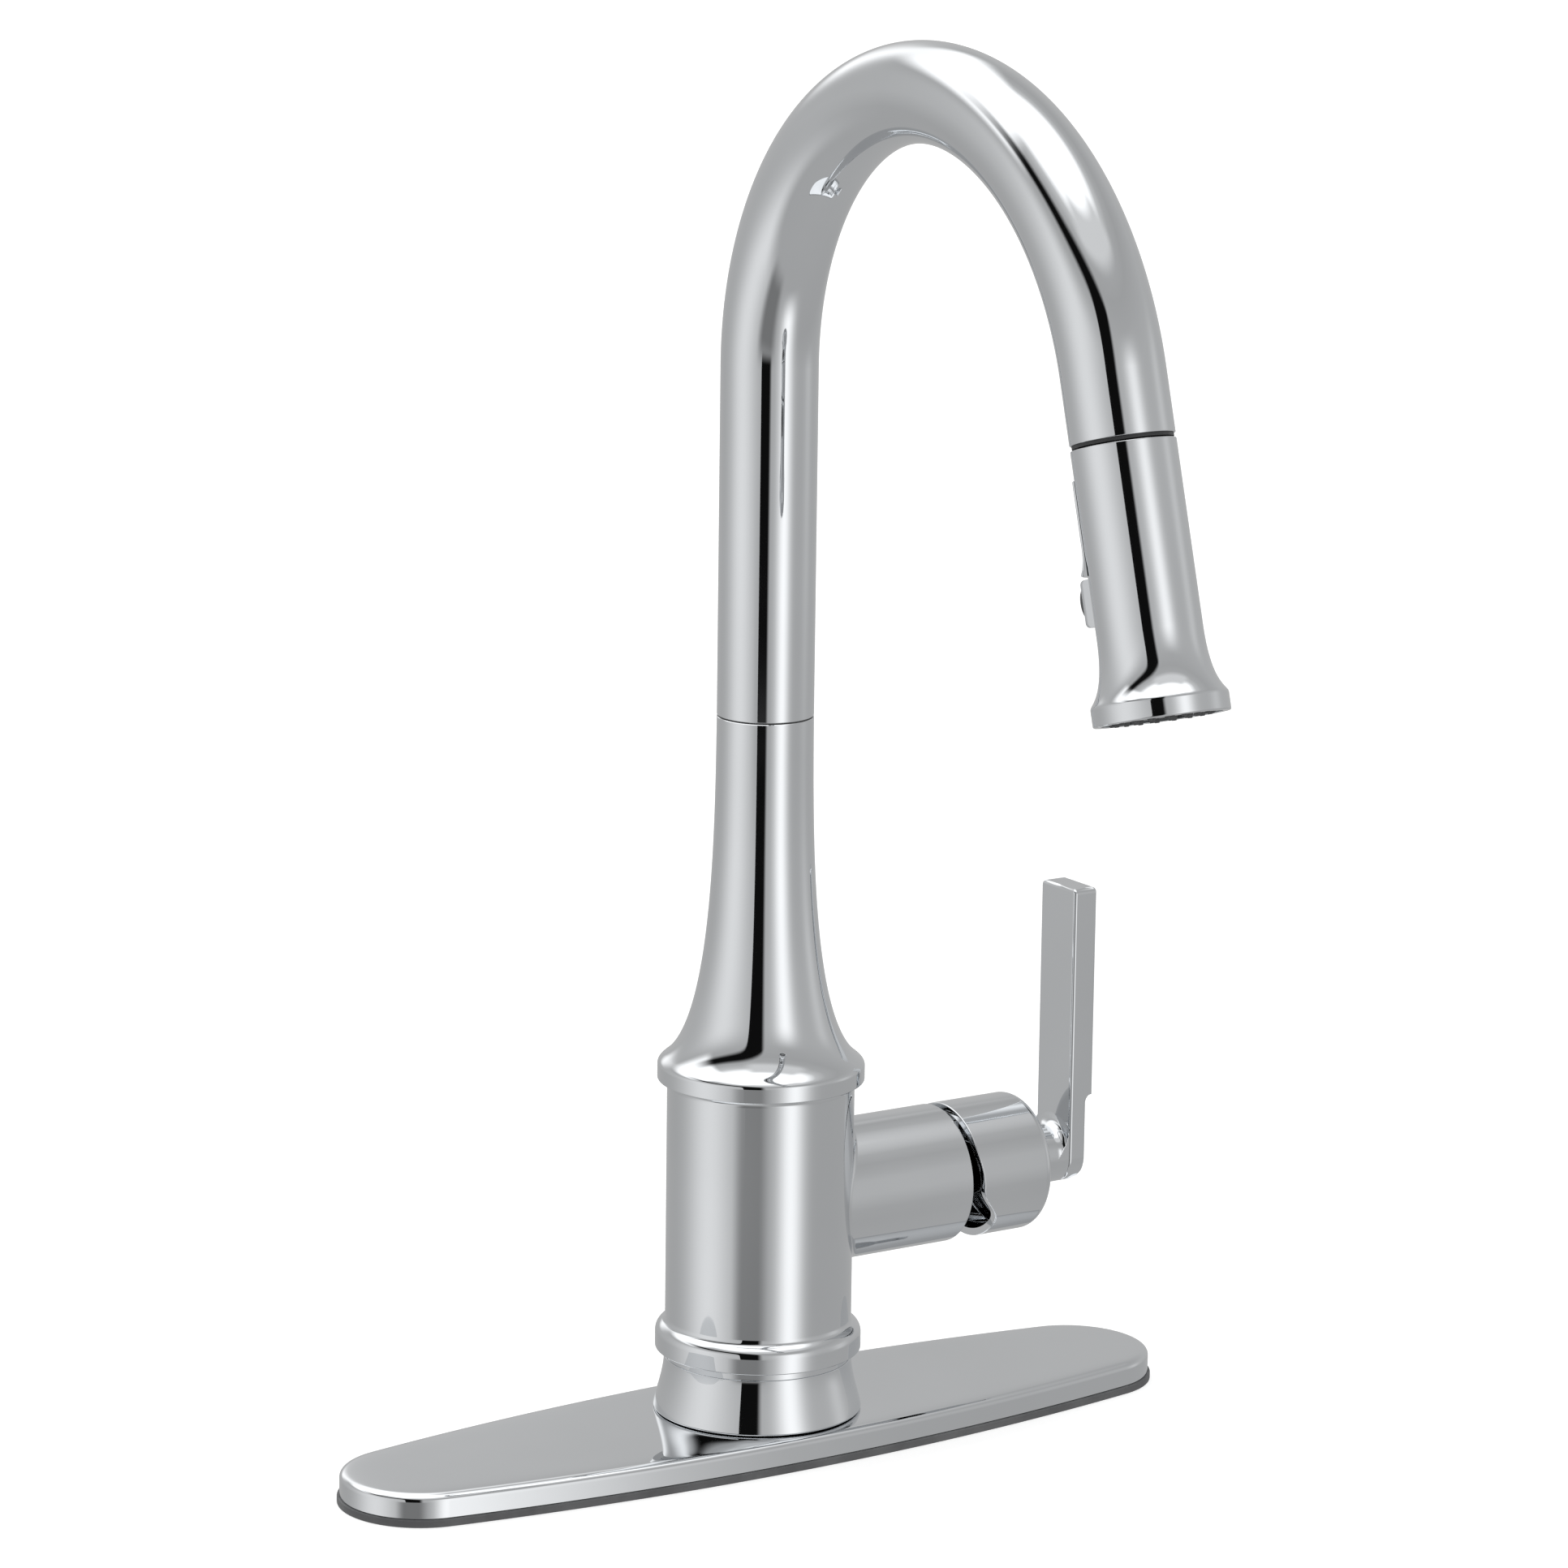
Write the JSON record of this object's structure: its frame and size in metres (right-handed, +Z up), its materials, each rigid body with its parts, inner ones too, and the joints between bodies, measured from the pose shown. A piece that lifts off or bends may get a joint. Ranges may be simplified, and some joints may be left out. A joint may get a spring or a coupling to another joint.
{
  "type": "pull down kitchen faucet",
  "caption": "Single-lever kitchen faucet with a deck plate, high arc swivel spout and a pull-down spray wand on a hose.",
  "frame": {"origin": "on the riser axis at the underside of the deck plate's carrier, the plane that meets the deck", "axes": "+Z up along the riser, spout towards -Y, valve neck and lever towards +X, deck plate long along X"},
  "size_m": [0.268, 0.2426, 0.5143],
  "materials": {
    "chrome": "bright polished chrome plate",
    "brass": "machined brass",
    "steel": "satin stainless steel",
    "carrier_plastic": "dark moulded plastic",
    "grey_plastic": "mid grey moulded plastic",
    "white_plastic": "natural acetal",
    "ceramic": "lapped alumina ceramic",
    "rubber": "soft moulded rubber",
    "hose_braid": "braided nylon sleeve"
  },
  "bodies": {
    "base": {"deck_plate": "chrome", "plate_carrier": "carrier_plastic", "deck_seal": "rubber", "base_flange": "chrome", "base_seal": "rubber", "body_shell": "chrome", "bell_cover": "chrome", "valve_body": "brass", "swivel_post": "brass", "post_o_rings": "rubber", "post_retaining_ring": "steel", "thrust_ring": "carrier_plastic", "shank": "brass", "rubber_washer": "rubber", "steel_washer": "steel", "mounting_nut": "steel", "hose_guide": "white_plastic", "hose_end_fitting": "brass", "cartridge_base": "white_plastic", "seat_seals": "rubber", "cartridge_housing": "grey_plastic", "fixed_disc": "ceramic", "bonnet_nut": "brass", "bonnet_ring": "chrome"},
    "temperature_rotor": {"cartridge_rotor": "white_plastic", "tilt_pin": "steel"},
    "disc_slider": {"disc_carrier": "grey_plastic", "moving_disc": "ceramic"},
    "lever": {"cartridge_stem": "brass", "handle_hub": "chrome", "lever_blade": "chrome", "set_screw": "steel", "index_plug": "grey_plastic"},
    "spout": {"spout_tube": "chrome", "spout_bushing": "white_plastic", "dock_bush": "carrier_plastic", "dock_magnet": "steel"},
    "hose_end": {"spray_hose": "hose_braid", "hose_ferrule": "steel", "hose_nut": "brass"},
    "wand": {"wand_shell": "chrome", "wand_spine": "chrome", "wand_core": "grey_plastic", "dock_plate": "steel", "inlet_screen": "steel", "check_valve": "white_plastic", "spray_plate": "grey_plastic", "spray_nozzles": "rubber", "aerator": "grey_plastic", "face_seal": "rubber", "button_spring": "steel"},
    "button": {"toggle_button": "chrome", "button_insert": "grey_plastic"},
    "diverter": {"diverter_plunger": "white_plastic"}
  },
  "joints": [
    {"name": "spout_swivel", "type": "hinge", "parent": "base", "child": "spout", "pos_m": [0, 0, 0.211], "axis": [0, 0, 1], "continuous": true},
    {"name": "hose_pull", "type": "slide", "parent": "spout", "child": "hose_end", "axis": [-0.0092, -0.2889, -0.9573], "range_m": [0, 0.235], "deforming": ["spray_hose"]},
    {"name": "wand_twist", "type": "hinge", "parent": "hose_end", "child": "wand", "pos_m": [-0.0055, -0.17207, 0.31386], "axis": [-0.0092, -0.2889, -0.9573], "continuous": true},
    {"name": "button_press", "type": "slide", "parent": "wand", "child": "button", "axis": [0.1779, -0.9426, 0.2827], "range_m": [0, 0.0015], "stiffness_N_per_m": 700, "deforming": ["button_spring"]},
    {"name": "diverter_slide", "type": "slide", "parent": "wand", "child": "diverter", "axis": [-0.0092, -0.2889, -0.9573], "range_m": [0, 0.0015]},
    {"name": "temperature_turn", "type": "hinge", "parent": "base", "child": "temperature_rotor", "pos_m": [0.052, 0, 0.0696], "axis": [1, 0, 0], "range_deg": [-45, 45]},
    {"name": "lever_tilt", "type": "hinge", "parent": "temperature_rotor", "child": "lever", "pos_m": [0.052, 0, 0.0696], "axis": [0, 1, 0], "range_deg": [0, 22]},
    {"name": "disc_slide", "type": "slide", "parent": "temperature_rotor", "child": "disc_slider", "axis": [0, 0, 1], "range_m": [0, 0.0047]}
  ],
  "couplings": [
    {"joint": "disc_slide", "follows": "lever_tilt", "m_per_rad": 0.012},
    {"joint": "diverter_slide", "follows": "button_press", "ratio": 1}
  ]
}
